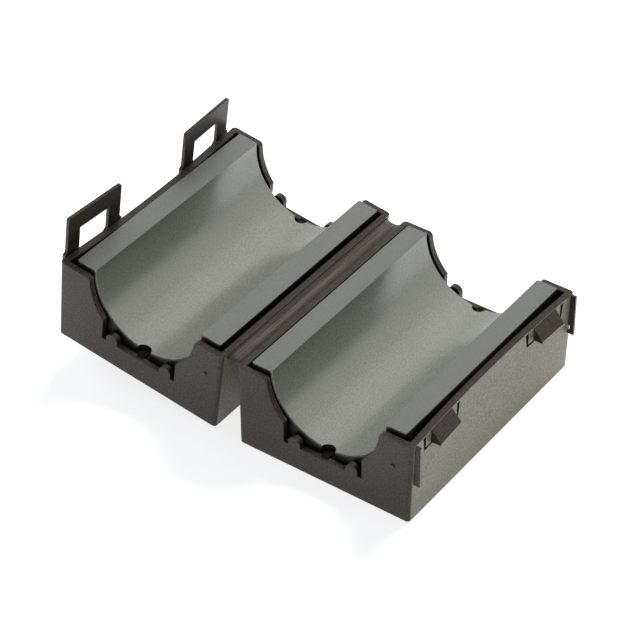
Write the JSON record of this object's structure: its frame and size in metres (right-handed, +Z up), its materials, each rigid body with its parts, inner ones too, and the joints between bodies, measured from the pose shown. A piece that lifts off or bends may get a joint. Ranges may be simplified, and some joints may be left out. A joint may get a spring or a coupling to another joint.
{
  "type": "clip-on ferrite core",
  "caption": "Clip-on ferrite core lying open: two ferrite half sleeves in black snap-shut shells joined by a living hinge.",
  "frame": {"origin": "on the underside of the shell with the catches, straight below the middle of its bore", "axes": "+Z up from the surface it lies on, +Y along the cable from the end nearest the camera to the far end, +X from the loops towards the catches"},
  "size_m": [0.0852, 0.0552, 0.0331],
  "materials": {
    "nylon": "black nylon, satin, lightly textured by the mould",
    "ferrite": "sintered dark grey ceramic, fine grain, flats ground smooth"
  },
  "bodies": {
    "level_half": {"shell_with_catches": "nylon", "ferrite_half_level": "ferrite", "living_hinge": "nylon"},
    "raised_half": {"shell_with_loops": "nylon", "ferrite_half_raised": "ferrite"},
    "front_loop": {"latch_loop_front": "nylon"},
    "rear_loop": {"latch_loop_rear": "nylon"}
  },
  "joints": [
    {"name": "case_hinge", "type": "hinge", "parent": "level_half", "child": "raised_half", "pos_m": [-0.0209, 0, 0.01942], "axis": [0, 1, 0], "range_deg": [-8, 172], "deforming": ["living_hinge"]},
    {"name": "front_loop_flex", "type": "hinge", "parent": "raised_half", "child": "front_loop", "pos_m": [-0.06244, -0.0175, 0.02181], "axis": [-0.0475, -0.9988, 0.0067], "range_deg": [0, 20], "stiffness_Nm_per_rad": 0.2},
    {"name": "rear_loop_flex", "type": "hinge", "parent": "raised_half", "child": "rear_loop", "pos_m": [-0.06244, 0.0175, 0.02181], "axis": [0.0475, -0.9988, -0.0067], "range_deg": [0, 20], "stiffness_Nm_per_rad": 0.2}
  ]
}
